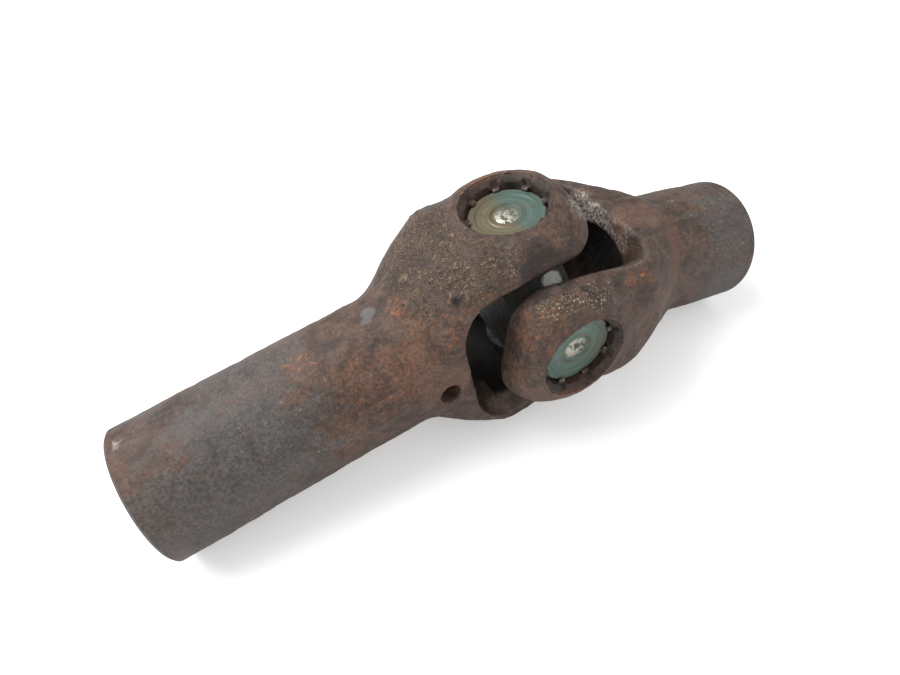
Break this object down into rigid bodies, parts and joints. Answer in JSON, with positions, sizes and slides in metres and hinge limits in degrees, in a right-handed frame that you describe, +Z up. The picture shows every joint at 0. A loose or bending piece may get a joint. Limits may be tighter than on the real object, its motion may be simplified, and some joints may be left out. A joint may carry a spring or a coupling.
{
  "type": "universal joint",
  "caption": "Rusty universal joint of two tubular forged yokes crossed on a trunnion cross, with staked bearing cups showing in the round ears.",
  "frame": {"origin": "middle of the joint's footprint, on the surface it lies on", "axes": "+X along the joint from the long tube to the short tube, +Y away from the ear that shows at the front, +Z up"},
  "size_m": [0.214, 0.0698, 0.0728],
  "materials": {
    "rusted_yoke": "forged steel under even brown rust",
    "stained_cup": "turned steel with a green and yellow stain",
    "worn_button": "worn bright",
    "bare_cross": "ground steel, oily",
    "needle_steel": "ground bright",
    "pressed_retainer": "dull pressed sheet",
    "seal_rubber": "black, greasy"
  },
  "bodies": {
    "long_yoke_body": {"long_yoke": "rusted_yoke", "bearing_cup_upper": "stained_cup", "thrust_button_upper": "worn_button", "needle_rollers_upper": "needle_steel", "bearing_cup_lower": "stained_cup", "thrust_button_lower": "worn_button", "needle_rollers_lower": "needle_steel"},
    "cross_body": {"cross": "bare_cross", "trunnion_seal_upper": "seal_rubber", "seal_retainer_upper": "pressed_retainer", "trunnion_seal_lower": "seal_rubber", "seal_retainer_lower": "pressed_retainer", "trunnion_seal_near": "seal_rubber", "seal_retainer_near": "pressed_retainer", "trunnion_seal_far": "seal_rubber", "seal_retainer_far": "pressed_retainer"},
    "short_yoke_body": {"short_yoke": "rusted_yoke", "bearing_cup_near": "stained_cup", "thrust_button_near": "worn_button", "needle_rollers_near": "needle_steel", "bearing_cup_far": "stained_cup", "thrust_button_far": "worn_button", "needle_rollers_far": "needle_steel"}
  },
  "joints": [
    {"name": "long_yoke_swivel", "type": "hinge", "parent": "long_yoke_body", "child": "cross_body", "pos_m": [0.01905, 0, 0.03638], "axis": [-0.1256, 0, 0.9921], "range_deg": [-20, 20]},
    {"name": "short_yoke_swivel", "type": "hinge", "parent": "cross_body", "child": "short_yoke_body", "pos_m": [0.01905, 0, 0.03638], "axis": [0, -1, 0], "range_deg": [-2.1, 37.9]}
  ]
}
